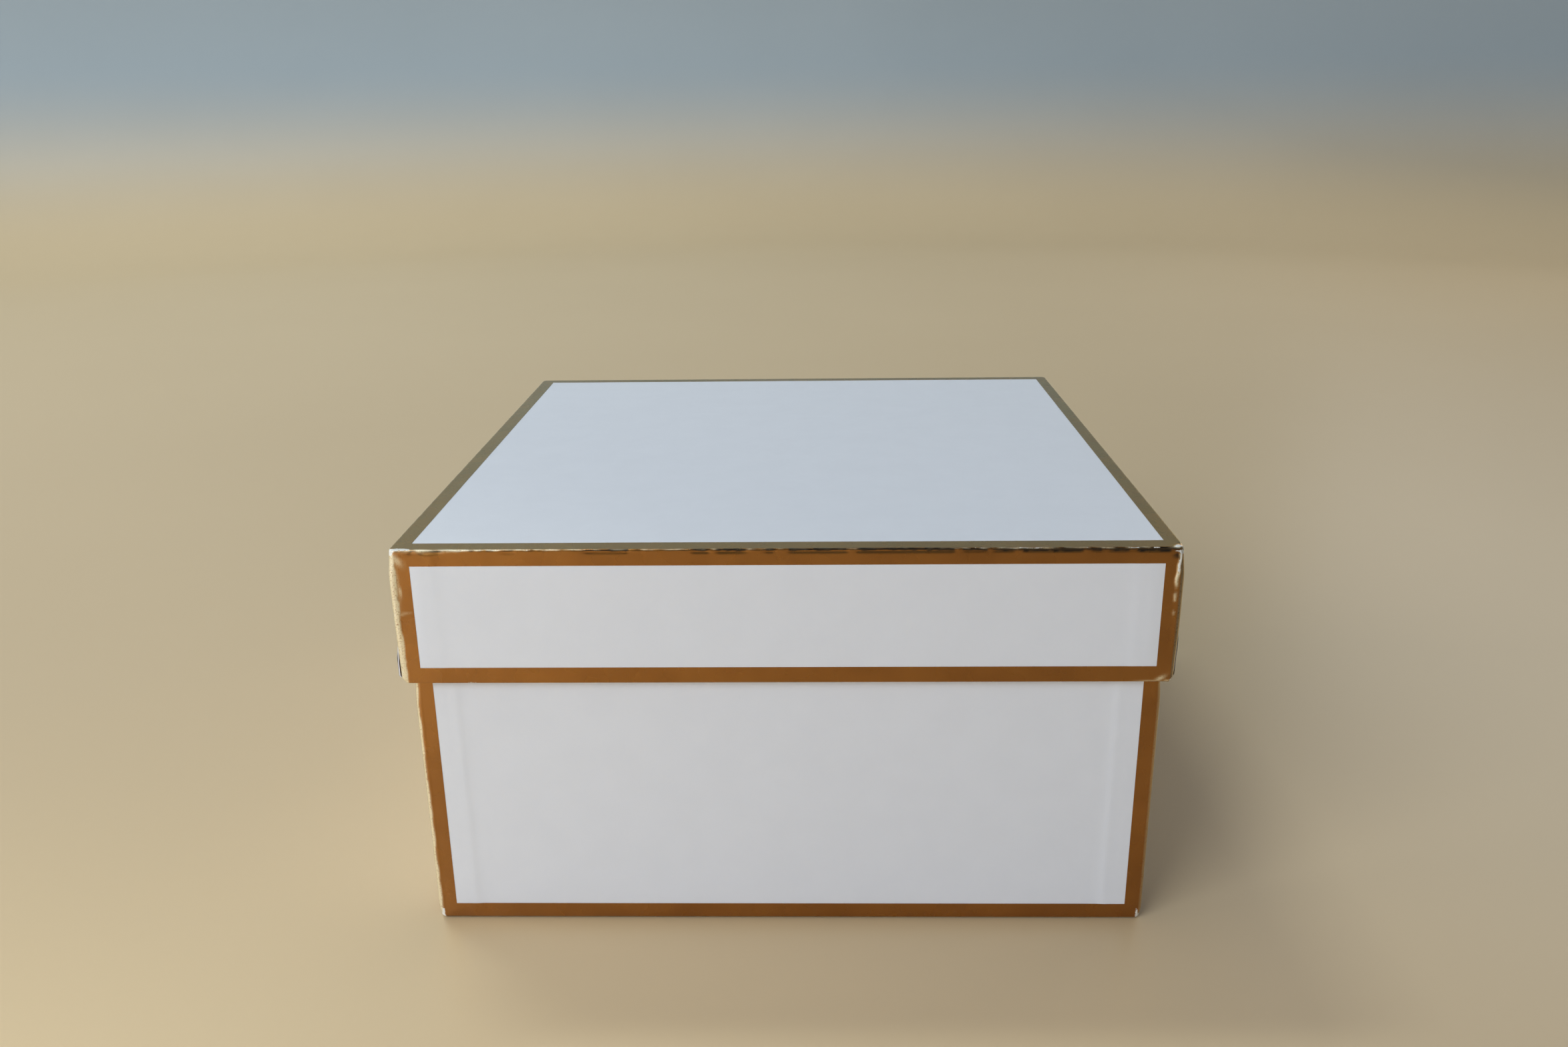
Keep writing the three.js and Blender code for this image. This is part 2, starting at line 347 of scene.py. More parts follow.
def shell(outer, inner, normals, quads):
    """A closed sheet between two surfaces that share their faces."""
    corner = outer[quads]
    face_normal = np.cross(corner[:, 2] - corner[:, 0], corner[:, 3] - corner[:, 1])
    backwards = (face_normal * normals[quads].mean(1)).sum(1) < 0
    quads = np.where(backwards[:, None], quads[:, ::-1], quads)
    count = len(outer)
    start = quads.ravel()
    end = np.roll(quads, -1, axis=1).ravel()
    forward = start * count + end
    lone = ~np.isin(end * count + start, forward)
    start, end = start[lone], end[lone]
    edges = np.stack([end, start, start + count, end + count], 1)
    faces = np.concatenate([quads, quads[:, ::-1] + count, edges])
    return np.concatenate([outer, inner]), faces


def add_object(name, data):
    """A new object in the scene."""
    thing = bpy.data.objects.new(name, data)
    bpy.context.scene.collection.objects.link(thing)
    return thing


def add_sheet(tray, kind, vertices, faces, material, attributes=None):
    """A smooth-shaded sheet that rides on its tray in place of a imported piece. It carries a
    number on each vertex for each attribute."""
    label, slot = KINDS[kind]
    mesh = bpy.data.meshes.new(tray.name + label)
    mesh.from_pydata((vertices * MM).tolist(), [], faces.tolist())
    for name, values in (attributes or {}).items():
        layer = mesh.attributes.new(name, "FLOAT", "POINT")
        layer.data.foreach_set("value", np.asarray(values, np.float32))
    mesh.validate()
    mesh.shade_smooth()
    mesh.set_sharp_from_angle(angle=math.radians(SHARP_EDGE))
    mesh.materials.append(material)
    piece = add_object(tray.name + label, mesh)
    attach(piece, tray.name)
    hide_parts(tray.name + "_" + kind)


# ---- grid lines

def grid_lines(start, end, low_marks, high_marks, step):
    """Grid lines: close marks counted in from each end, and even steps between them."""
    low = start + np.array(sorted(set(low_marks)))
    high = end - np.array(sorted(set(high_marks), reverse=True))
    count = max(2, int(round((high[0] - low[-1]) / step)) + 1)
    return np.round(np.concatenate([low, np.linspace(low[-1], high[0], count)[1:-1], high]), 3)


def wall_path(tray, panel_marks, rim_marks, step):
    """The section of a wall's outside, from the closed panel to the rim."""
    h = grid_lines(0, tray.height, panel_marks, rim_marks, step)
    return np.stack([h * 0, h], 1)


def rim_path(tray):
    """The section of the rim, from the outside to the inside."""
    depth = np.array([0, 0.12, 0.3, 0.5, tray.thickness / 2])
    depth = np.concatenate([depth, tray.thickness - depth[-2::-1]])
    return np.stack([depth, depth * 0 + tray.height], 1)


def inside_path(tray, turn_in, marks):
    """The section of a turn-in, from the rim to its edge."""
    down = np.array([m for m in marks if m < turn_in] + [turn_in])
    return np.stack([down * 0 + tray.thickness, tray.height - down], 1)


def windows_of(tray):
    """Each face's white window as (low, high) limits along the face and up it."""
    outside = tray.half + FOIL_TOP
    bands = tray.bands
    up = (bands["panel"] - FOIL_TOP, tray.height + FOIL_TOP - bands["rim"])
    across = (bands["left"] - outside, outside - bands["right"])
    along = (bands["side"] - outside, outside - bands["side"])
    closed = tray.panel_bands
    panel = (
        (closed["left"] - outside, outside - closed["right"]),
        (closed["front"] - outside, outside - closed["back"]),
    )
    walls = {"front": (across, up), "back": (across, up), "left": (along, up), "right": (along, up)}
    return {**walls, "panel": panel}


def marks_beside(tray, windows, side):
    """Distances from the low and the high end of a side at which the edges of its own window
    and of the panel's run."""
    limits = (windows[side][0], windows["panel"][side in ("left", "right")])
    low = [round(tray.half + first, 3) for first, _ in limits]
    high = [round(tray.half - last, 3) for _, last in limits]
    return low, high


# ---- how the box has been handled, and painted shade and highlights on the foil

def along_of(tray, rows):
    """For each vertex: its distance in from the outer wall, whether it is on a left or right
    side, and how far it is from the nearer upright corner."""
    x, y = rows[:, X], rows[:, Y]
    depth = tray.half - np.maximum(np.abs(x), np.abs(y))
    on_x = np.abs(x) > np.abs(y)
    stretch = tray.half / np.maximum(tray.half - depth, 1e-6)
    from_corner = tray.half - np.abs(np.where(on_x, y, x) * stretch)
    return depth, on_x, from_corner


def lid_only(field):
    """Makes a field over the vertices 0 on the base."""
    def limited(tray, rows):
        return field(tray, rows) if tray is LID else np.zeros(len(rows))
    return limited


def on_front(rows):
    """Whether a vertex is on the front wall or the panel's front part."""
    x, y = rows[:, X], rows[:, Y]
    return (y < 0) & (np.abs(y) >= np.abs(x))


def on_front_wall(rows):
    """Whether a vertex is on the outside of the front wall."""
    return on_front(rows) & (rows[:, OUT] > 0.5)


def short_of_rim(tray, h):
    """1 over a wall, falling to 0 just before its rim."""
    return fade(tray.height - 1.6, tray.height - 0.3, h)


def along_noise(rows, size, seed):
    """Random values that change round the box but not up its walls."""
    along = rows[:, X] + rows[:, Y] * 1.7
    return noise(np.stack([along, along * 0, along * 0], 1), size, seed)


def free_flap(tray, rows):
    """How far the side sheets stand up where they lap over the front sheet's ears. Low down on
    the lid, both front flaps have come unglued, the left one more than the right."""
    _, on_x, from_corner = along_of(tray, rows)
    x, y, h, out, _, layer = rows.T
    on_flap = on_x & (from_corner > SEAM - 0.01) & (layer < 0.5) & (out > 0.5)
    risen = smooth(0, SEAM_START, h) * fade(tray.height - 2, tray.height, h)
    rise = FLAP_RISE * risen * fade(SEAM, 25, from_corner)
    if tray is LID:
        near = fade(SEAM, 16, from_corner)
        starts = np.where(x < 0, *PEEL_START)
        amount = np.where(x < 0, *PEEL) * (y < 0)
        peel = smooth(starts, starts + PEEL_RUN, h) * short_of_rim(tray, h)
        rise += amount * peel * near
    under = (layer > 0.5) * -0.03
    return np.where(on_flap, rise, under)


def full_corners(tray, rows):
    """The wrapped upright corners at the front stand a little fuller than the board in them,
    but for the part of the base that the lid slides over."""
    _, on_x, from_corner = along_of(tray, rows)
    x, y, h, out = rows[:, :4].T
    near = np.where(on_x, fade(SEAM, 30, from_corner), fade(0, 2.2, from_corner))
    if tray is LID:
        loss = np.where(x < 0, 0.25, 0.6) * smooth(25, 45, h)
        fullness = FULL_LID_CORNER * smooth(0, 11, h) * (1 - loss)
    else:
        fullness = FULL_BASE_CORNER * smooth(0, 4, h) * fade(84, 92, h)
    return fullness * near * short_of_rim(tray, h) * (y < 0) * (out > 0.5)


@lid_only
def flap_edge(tray, rows):
    """1 on the worn free edges of the lid's unglued flaps."""
    _, on_x, from_corner = along_of(tray, rows)
    loose = smooth(26, 32, rows[:, H]) * on_x * (rows[:, Y] < 0) * (rows[:, LAYER] < 0.5)
    return loose * (rows[:, OUT] > 0.5) * (np.abs(from_corner - SEAM) < 0.2)


def panel_waves(tray, rows):
    """Paper over board is never quite flat: slow waves, and steps over the stay tapes."""
    depth, on_x, from_corner = along_of(tray, rows)
    _, _, h, out, rimward, _ = rows.T
    from_fold = np.where(out > 0.5, np.minimum(h, tray.height - h), depth)
    inner = smooth(0, 14, np.minimum(from_corner, from_fold))
    waves = 0.07 * noise(rows, 55, 11) + 0.025 * noise(rows, 17, 12)
    outside = (out > 0.5) | (rimward < -0.5)
    tape = STAY_TAPE * fade(STAY_LEG - 1.5, STAY_LEG + 2, from_corner)
    tape += STAY_RIDGE * bell(from_corner, STAY_LEG, 1.6)
    tape *= smooth(0, 3, np.minimum(h, tray.height - h)) * smooth(0, 2, from_corner)
    tape = np.where((out > 0.5) & ~on_x, tape, 0) * (1.0 if tray is BASE else 0.5)
    return np.where(outside, waves * inner + tape, 0)


def dist_to(tray, rows, x, y, h):
    """Distance of each vertex from a sharp corner of the tray, given by the signs of x and y."""
    target = np.array([x * tray.half, y * tray.half, h])
    return np.linalg.norm(rows[:, :3] - target, axis=1)


def fold_line(tray, rows):
    """A coordinate across the panel's fold: below 0 on the panel, above 0 on the wall."""
    depth = tray.half - np.maximum(np.abs(rows[:, X]), np.abs(rows[:, Y]))
    outside = (rows[:, OUT] > 0.5) | (rows[:, RIMWARD] < -0.5)
    return np.where(outside, rows[:, H] - depth, 99)


def front_profile(rows, left, middle, right):
    """A value that changes along the front from left through middle to right."""
    x = rows[:, X]
    value = left + (middle - left) * smooth(-100, -60, x)
    return value + (right - middle) * smooth(30, 80, x)


def fold_creases(rows):
    """How strongly each vertex is caught in a crease under the lid's front fold."""
    x = rows[:, X] + 0.5 * along_noise(rows, 1.7, 29)
    strength = np.zeros(len(rows))
    for start, end, amount in FOLD_CREASES:
        inside = smooth(start - 0.7, start + 0.7, x) * fade(end - 0.7, end + 0.7, x)
        strength = np.maximum(strength, amount * inside)
    return strength * on_front(rows)


@lid_only
def crinkles(tray, rows):
    """Small puckers in the foil along the lid's top folds and at its crushed corners."""
    across = fold_line(tray, rows)
    share = np.where(on_front(rows), front_profile(rows, 0.8, 0.7, 1.0), 0.35)
    bead = 0.09 + 0.1 * along_noise(rows, 2.6, 21) + 0.06 * along_noise(rows, 1.1, 22)
    shape = share * bead * bell(across, -0.05, 0.4)
    shape -= 0.27 * fold_creases(rows) * bell(across, 0.85, 0.5)
    shape += share * 0.04 * noise(rows, 1.3, 25) * bell(across, 0.2, 0.7)
    right = dist_to(tray, rows, 1, -1, 0)
    crushed = 0.36 * noise(rows, 1.5, 26) + 0.2 * noise(rows, 0.8, 27)
    shape += (crushed - 0.1) * fade(0.8, 4.2, right)
    left = dist_to(tray, rows, -1, -1, 0)
    shape -= 0.45 * fade(0, 2.4, left)
    return shape + 0.12 * noise(rows, 1.4, 28) * fade(0, 5, left)


@lid_only
def edge_ridge(tray, rows):
    """The upright ridge pinched up beside the lid's right front edge, and broken marks below
    it. 1 on its crest."""
    h = rows[:, H]
    centre = 1.15 + 0.75 * smooth(1, 13, h) + 0.12 * np.sin(h * 1.3)
    length = smooth(0.8, 2.4, h) * fade(11, 15, h)
    broken = smooth(0.0, 0.35, noise(rows, 1.6, 31))
    later = 0.6 * smooth(12, 15, h) * fade(21, 25, h) * broken
    crest = np.clip(1.3 * (length + later) * bell(tray.half - rows[:, X], centre, 0.45), 0, 1)
    return crest * on_front_wall(rows)


@lid_only
def creases(tray, rows):
    """Longer marks on the lid: the ridge, a bent crease on the left band, and a crushed lower
    right corner."""
    from_left = tray.half + rows[:, X]
    bent_at = 22 - 0.12 * from_left + 0.5 * np.sin(from_left)
    bend = 0.07 * bell(rows[:, H], bent_at, 0.45) * fade(4, 6, from_left)
    bend = bend * on_front_wall(rows)
    low_right = dist_to(tray, rows, 1, -1, tray.height)
    crush = 0.3 * noise(rows, 1.7, 33) * fade(1.5, 5, low_right)
    return 0.3 * edge_ridge(tray, rows) + bend + crush


@lid_only
def foil_room(tray, rows):
    """How far the paper under the foil is held back so that puckered foil stays above it."""
    across = fold_line(tray, rows)
    near = 0.3 * bell(across, 0, 1.5)
    for x in (-1, 1):
        near += 0.35 * fade(2.5, 4.8, dist_to(tray, rows, x, -1, 0))
    near += 0.2 * fade(3, 4.8, dist_to(tray, rows, 1, -1, tray.height))
    return np.minimum(near, 0.5)


def crest_line(rows, middle):
    """How the crest of the lid's fold wanders about a middle, as a coordinate across the fold."""
    return middle + 0.14 * along_noise(rows, 2.0, 44)


def marks_of(tray, rows, kind):
    """The listed small marks of one kind."""
    total = np.zeros(len(rows))
    for name, changes, along, away, slope, length, width, strength in MARKS:
        if name != tray.name or changes != kind:
            continue
        turn = math.radians(slope)
        u = (rows[:, X] - along) * math.cos(turn) + (rows[:, H] - away) * math.sin(turn)
        v = (rows[:, H] - away) * math.cos(turn) - (rows[:, X] - along) * math.sin(turn)
        total = np.maximum(total, strength * bell(u, 0, length) * bell(v, 0, width))
    return total * on_front_wall(rows)


def wear_of(tray, rows):
    """0 where the foil is whole to 1 where it has rubbed off and white paper shows."""
    across = fold_line(tray, rows)
    worn = [marks_of(tray, rows, "wear")]
    if tray is BASE:
        worn.append(0.12 * bell(across, 0, 0.5))
        torn = 0.9 + 0.25 * noise(rows, 1.2, 47)
        for side in (-1, 1):
            worn.append(torn * fade(1.2, 2.6, dist_to(tray, rows, side, -1, 0)))
            worn.append(0.7 * fade(0.6, 1.6, dist_to(tray, rows, side, 1, 0)))
        return np.maximum.reduce(worn)
    patchy = 0.5 + 0.5 * along_noise(rows, 3.5, 41) + 0.3 * along_noise(rows, 1.2, 42)
    strength = np.where(on_front(rows), front_profile(rows, 0.62, 0.34, 0.75), 0.3)
    uncrimped = 1 - front_profile(rows, 0.2, 0.9, 0.1) * fold_creases(rows)
    worn.append(strength * patchy * uncrimped * bell(across, crest_line(rows, -0.12), 0.36))
    from_left = tray.half + rows[:, X]
    strip = fade(4, 11, from_left) * bell(across, -0.8, 1.1) * on_front(rows)
    worn.append(strip * (0.95 + 0.25 * along_noise(rows, 1.3, 45)))
    worn.append(0.8 * edge_ridge(tray, rows) * bell(rows[:, H], 5, 5))
    worn.append(0.33 * ((from_left < CORNER) & (rows[:, Y] < 0) & (rows[:, OUT] > 0.5)))
    worn.append(flap_edge(tray, rows))
    worn.append(1.1 * fade(1.0, 2.8, dist_to(tray, rows, -1, -1, 0)))
    crumpled = 0.58 + 0.9 * noise(rows[:, :3] * [0.6, 1, 1.5], 1.0, 46)
    worn.append(crumpled * fade(1.6, 4.6, dist_to(tray, rows, 1, -1, 0)))
    for side in (-1, 1):
        worn.append(0.8 * fade(0.5, 1.7, dist_to(tray, rows, side, 1, 0)))
    torn = 0.5 + 0.5 * noise(rows, 1.3, 43)
    worn.append(torn * fade(0.6, 2.8, dist_to(tray, rows, 1, -1, tray.height)))
    return np.maximum.reduce(worn)


def scuff_and_highlight_of(tray, rows):
    """0 where the foil is clean to 1 where it is pale and dull: partly rubbed foil and partly a
    painted highlight. It is on upright edges, most of all as a bright strip at the front left,
    along the crest of the lid's front fold and on the right ridge."""
    x, y, h, out = rows[:, :4].T
    from_corner = along_of(tray, rows)[2]
    up_wall = rows[:, :3] * [0, 0, 1]
    ragged = 0.3 * noise(up_wall, 4, 52) + 0.15 * noise(up_wall, 1.5, 53)
    # The wide pale strip on the lid's front left upright edge is partly a painted highlight.
    if tray is LID:
        width = 1.75 + 0.3 * h / tray.height + ragged
    else:
        width = 1.15 + ragged
    front_left = (x < 0) & (y < 0)
    width = np.where(front_left, width, 0.9)
    edge = fade(width - 0.4, width + 0.3, from_corner)
    scuff_and_highlight = np.where(front_left, 1.0, 0.25) * edge * (out > 0.5)
    scuff_and_highlight = np.maximum(scuff_and_highlight, marks_of(tray, rows, "scuff_and_highlight"))
    if tray is LID:
        # The pale line along the fold's crest, and the right ridge, are partly painted highlight.
        worn = front_profile(rows, 0.7, 0.25, 0.5) + 0.6 * along_noise(rows, 1.9, 54)
        worn = worn * (1 - front_profile(rows, 0.2, 0.9, 0.25) * fold_creases(rows))
        tall = 0.3 + 0.5 * fade(16, 30, tray.half + x) * on_front(rows)
        crest = bell(fold_line(tray, rows), crest_line(rows, -0.1), tall)
        crest = np.where(on_front(rows), worn, 0.3) * crest
        scuff_and_highlight = np.maximum(scuff_and_highlight, np.maximum(crest, edge_ridge(tray, rows)))
    return scuff_and_highlight


@lid_only
def painted_shade_of(tray, rows):
    """0 where the foil is clean to 1 where it is painted dark, as painted shade and painted dark
    reflection: in the creases under the lid's front fold, along its right front edge, among the
    crumples of the crushed right corner and in specks along the left of the fold."""
    # Painted shade and painted dark reflection in the creases under the front fold.
    tall = front_profile(rows, 0.38, 0.5, 0.58) * (1 + 0.45 * along_noise(rows, 1.6, 56))
    strength = np.maximum(fold_creases(rows), front_profile(rows, 0, 0, 0.42) * on_front(rows))
    middle = front_profile(rows, 0.35, 0.12, 0.55)
    crease_shade = strength * bell(fold_line(tray, rows), middle, tall)
    # Painted dark reflection: a dark band along the lid's right front edge.
    from_right = tray.half - rows[:, X]
    edge = 0.8 * fade(0.6, 1.2, from_right) * on_front_wall(rows)
    # Painted shade: dark lines among the crumples of the crushed right top corner.
    right = dist_to(tray, rows, 1, -1, 0)
    lines = smooth(0.15, 0.5, noise(rows, 1.5, 57)) * fade(3.5, 5.5, right)
    # Painted shade: dark specks along the left part of the front fold.
    specks = front_profile(rows, 0.8, 0, 0) * smooth(0.1, 0.5, along_noise(rows, 1.3, 58))
    specks = specks * bell(fold_line(tray, rows), 0.1, 0.4) * on_front(rows)
    return np.maximum.reduce([smooth(0.15, 0.5, crease_shade), edge, 0.9 * lines, specks])


def under_foil(tray, rows, windows):
    """1 where the paper is covered by foil, for pressing it in by the depth of the stamping."""
    x, y, h, out, rimward = rows[:, :5].T
    covered = np.ones(len(rows))
    margin = 0.05
    for side, (across, up) in windows.items():
        if side == "panel":
            on_side, a, b = rimward < -0.5, x, y
        else:
            nx, ny = SIDES[side]
            on_side = (out > 0.5) & (x * nx + y * ny > tray.half - 0.01)
            a, b = (y if nx else x), h
        clear = (a > across[0] - margin) & (a < across[1] + margin)
        clear = clear & (b > up[0] - margin) & (b < up[1] + margin)
        covered[on_side & clear] = 0
    covered[(out < -0.5) & (tray.height - h > FOIL_TURN_IN - 0.5)] = 0
    return covered


# ---- building the sheets

# Distances in from a fold or a corner at which grid lines run, and the grid steps between them.
FOIL_MARKS = [0, 0.1, 0.2, 0.3, 0.45, 0.6, 0.8, 1.0, 1.3, 1.7, 2.0, 2.25, SEAM, 2.9, 3.4, EAR, 4.7]
PAPER_MARKS = [0, 0.2, 0.5, 0.9, 1.3, 1.7, 2.0, SEAM, 3.2, EAR]
TAPE_MARKS = [STAY_LEG + beyond for beyond in (-4, -2, -1, 0, 1, 2, 4)]
RIM_MARKS = [0, 0.12, 0.3, 0.5, 0.9, 1.25, 1.6, 2.1, 2.6, 3.2, 3.8]
FOIL_STEPS = {
    "lid": {"front": 0.8, "back": 2.4, "left": 2.4, "up": 0.7},
    "base": {"front": 2.4, "back": 3, "left": 3, "up": 2.0},
}
PAPER_STEP = 4.0
LINING_MARKS = [0, 0.25, 0.6, 1.5, 4]
LINING_GAP = 0.25
LINING_FOLD = 0.5


def everywhere(a, b):
    """Keeps every face of a grid."""
    return np.ones(a.shape, bool)


def ear_layer(tray):
    """Keeps the ear's free part apart from the flap that lies over it."""
    def layer(along, h):
        beyond = tray.half - np.abs(along) > SEAM - 0.01
        return (beyond & (h > 0.001) & (h < tray.height - 0.001)) * 1.0
    return layer


def side_lines(tray, windows, marks, steps):
    """Grid lines along each side. The two ends of a line are the same on facing sides."""
    lines = {}
    for side in SIDES:
        low, high = marks_beside(tray, windows, side)
        step = steps.get(side, steps["left"])
        lines[side] = grid_lines(-tray.half, tray.half, marks + low, marks + high, step)
    return lines


def add_walls(sheet, lines, path, inside, keep_wall):
    """Four walls, the rim and the turn-in. Side sheets lap over ears of the front and back."""
    tray = sheet.tray
    half = tray.half
    for side in SIDES:
        along = lines[side]
        sheet.wall(side, along, rim_path(tray), 0, 1, everywhere)
        sheet.wall(side, along, inside, -1, 0, everywhere)
        wanted = keep_wall(side)
        if side in ("front", "back"):
            sheet.wall(side, along, path, 1, 0, wanted)
            continue
        flap = along[np.abs(along) <= half - SEAM + 0.01]
        sheet.wall(side, flap, path, 1, 0, wanted)

        def keep_ear(a, h, wanted=wanted):
            joined = half - np.abs(a) < SEAM
            loose = (h > SEAM_START) & (h < tray.height - 1.5)
            return wanted(a, h) & (joined | loose)

        for end in (-1, 1):
            ear = along[along * end >= half - EAR - 0.01]
            sheet.wall(side, ear, path, 1, 0, keep_ear, ear_layer(tray))


def foil_sheet(tray):
    """The stamped border: patches everywhere but in the white windows."""
    windows = windows_of(tray)
    steps = FOIL_STEPS[tray.name]
    lines = side_lines(tray, windows, FOIL_MARKS, steps)
    sheet = Sheet(tray)
    (left, right), (front, back) = windows["panel"]
    slack = 0.01
    across, up = lines["front"], lines["left"]
    sheet.panel(across, up[up < front + slack], everywhere)
    sheet.panel(lines["back"], up[up > back - slack], everywhere)
    middle = up[(up > front - slack) & (up < back + slack)]
    sheet.panel(across[across < left + slack], middle, everywhere)
    sheet.panel(across[across > right - slack], middle, everywhere)
    low, high = windows["front"][1]
    path = wall_path(tray, FOIL_MARKS + [low], RIM_MARKS + [tray.height - high], steps["up"])
    inside = inside_path(tray, FOIL_TURN_IN, [0, 0.12, 0.3, 0.5, 1.2])

    def keep_wall(side):
        (low_a, high_a), (low_h, high_h) = windows[side]
        return lambda a, h: ~((a > low_a) & (a < high_a) & (h > low_h) & (h < high_h))

    add_walls(sheet, lines, path, inside, keep_wall)
    return sheet.merged()


def paper_sheet(tray):
    """The wrapping: the whole skin, but for the middle of the base's underside."""
    windows = windows_of(tray)
    lines = side_lines(tray, windows, PAPER_MARKS + TAPE_MARKS, {"left": PAPER_STEP})
    sheet = Sheet(tray)
    across, up = lines["front"], lines["left"]
    edge = tray.half - UNDERSIDE_TURN_IN

    def turned_in(x, y):
        return np.maximum(np.abs(x), np.abs(y)) > edge

    sheet.panel(across, up, turned_in if tray is BASE else everywhere)
    low, high = windows["front"][1]
    path = wall_path(tray, PAPER_MARKS + [low], RIM_MARKS + [tray.height - high], PAPER_STEP)
    inside = inside_path(tray, RIM_TURN_IN, [0, 0.12, 0.3, 0.5, 2.5, 3.1, 6, 10, 14])
    add_walls(sheet, lines, path, inside, lambda side: everywhere)
    return sheet.merged()


def paper_lift(tray, rows):
    """How far the wrapping paper, with its foil, stands off its nominal place."""
    return free_flap(tray, rows) + full_corners(tray, rows) + panel_waves(tray, rows)


def make_foil(tray, material):
    """The stamped border of one tray."""
    rows, quads = foil_sheet(tray)
    lift = paper_lift(tray, rows) + creases(tray, rows) + crinkles(tray, rows)
    outer, normals = place(tray, rows, FOIL_TOP + lift)
    inner, _ = place(tray, rows, FOIL_TOP - FOIL + lift)
    vertices, faces = shell(outer, inner, normals, quads)
    fields = {"wear": wear_of, "scuff_and_highlight": scuff_and_highlight_of, "shade": painted_shade_of}
    attributes = {name: np.tile(field(tray, rows), 2) for name, field in fields.items()}
    add_sheet(tray, "foil", vertices, faces, material, attributes)


def make_paper(tray, material):
    """The wrapping of one tray, held back and pressed in under its foil."""
    rows, quads = paper_sheet(tray)
    lift = paper_lift(tray, rows) - foil_room(tray, rows)
    pressed = STAMPED_DEPTH * under_foil(tray, rows, windows_of(tray))
    outer, normals = place(tray, rows, lift - pressed)
    inner, _ = place(tray, rows, lift - PAPER - FRAYED * flap_edge(tray, rows))
    vertices, faces = shell(outer, inner, normals, quads)
    add_sheet(tray, "wrap", vertices, faces, material)


def lining_grid(tray, half, height):
    """Sharp rows and faces of the lining: a panel and four walls that end short of the corners."""
    along = grid_lines(-half, half, LINING_MARKS, LINING_MARKS, PAPER_STEP)
    path = np.array([0, 0.2, 0.4, 0.8, 2] + list(np.linspace(5, height, max(4, int(height / 5)))))
    sheet = Sheet(tray)
    x, y = np.meshgrid(along, along, indexing="ij")
    sheet.patch(x, y, x * 0, 0, -1, x * 0, np.ones((len(along) - 1,) * 2, bool))
    for number, (nx, ny) in enumerate(SIDES.values()):
        a, h = np.meshgrid(along, path, indexing="ij")
        short = np.abs((along[1:] + along[:-1]) / 2) < half - LINING_GAP
        keep = np.repeat(short[:, None], len(path) - 1, 1)
        layer = np.where(h > 0.001, number + 1.0, 0)
        sheet.patch(nx * half + abs(ny) * a, ny * half + abs(nx) * a, h, 1, 0, layer, keep)
    return sheet.merged()


def make_lining(tray, material):
    """One die-cut sheet: the inside of the closed panel and four walls folded up from it. The
    walls end just short of each corner, and their top edges are a little uneven."""
    low, high = box_mm(tray.name + "_lining")
    half, height = high[0], high[2] - low[2]
    floor = low[2] if tray.up > 0 else high[2]
    rows, quads = lining_grid(tray, half, height)
    x, y, h, out = rows[:, :4].T
    depth = half - np.maximum(np.abs(x), np.abs(y))
    u, w = np.clip(LINING_FOLD - depth, 0, None), np.clip(LINING_FOLD - h, 0, None)
    length = np.maximum(np.hypot(u, w), 1e-6)
    bent = (u > 0) & (w > 0)
    in_depth = np.where(bent, LINING_FOLD * (1 - u / length), depth)
    in_h = np.where(bent, LINING_FOLD * (1 - w / length), h)
    nd = np.where(bent, u / length, (out > 0.5) * 1.0)
    nh = np.where(bent, -w / length, (out < 0.5) * -1.0)
    around = rows[:, :3] * [1, 1, 0]
    top_edge = 0.35 * noise(around, 60, 61) + 0.1 * noise(around, 9, 62)
    in_h = in_h + top_edge * smooth(height - 12, height, h)
    scale = (half - in_depth) / np.maximum(half - depth, 1e-6)
    on_x = np.abs(x) >= np.abs(y)
    waves = 0.12 * noise(rows, 40, 63) + 0.04 * noise(rows, 14, 64)
    inner_corner = np.minimum(half - np.abs(np.where(on_x, y, x)), np.where(out > 0.5, h, depth))
    waves = np.where(inner_corner > 1, waves, 0) * smooth(0, 12, inner_corner)
    loose = waves - 0.12 * smooth(0, 6, inner_corner)
    nx = np.where(on_x, np.sign(x), 0) * nd
    ny = np.where(on_x, 0, np.sign(y)) * nd

    def surface(offset):
        moved = offset + loose
        z = floor + tray.up * (in_h + nh * moved)
        return np.stack([x * scale + nx * moved, y * scale + ny * moved, z], 1)

    normals = np.stack([nx, ny, tray.up * nh], 1)
    vertices, faces = shell(surface(0), surface(-LINING), normals, quads)
    add_sheet(tray, "lining", vertices, faces, material)


# ---- materials

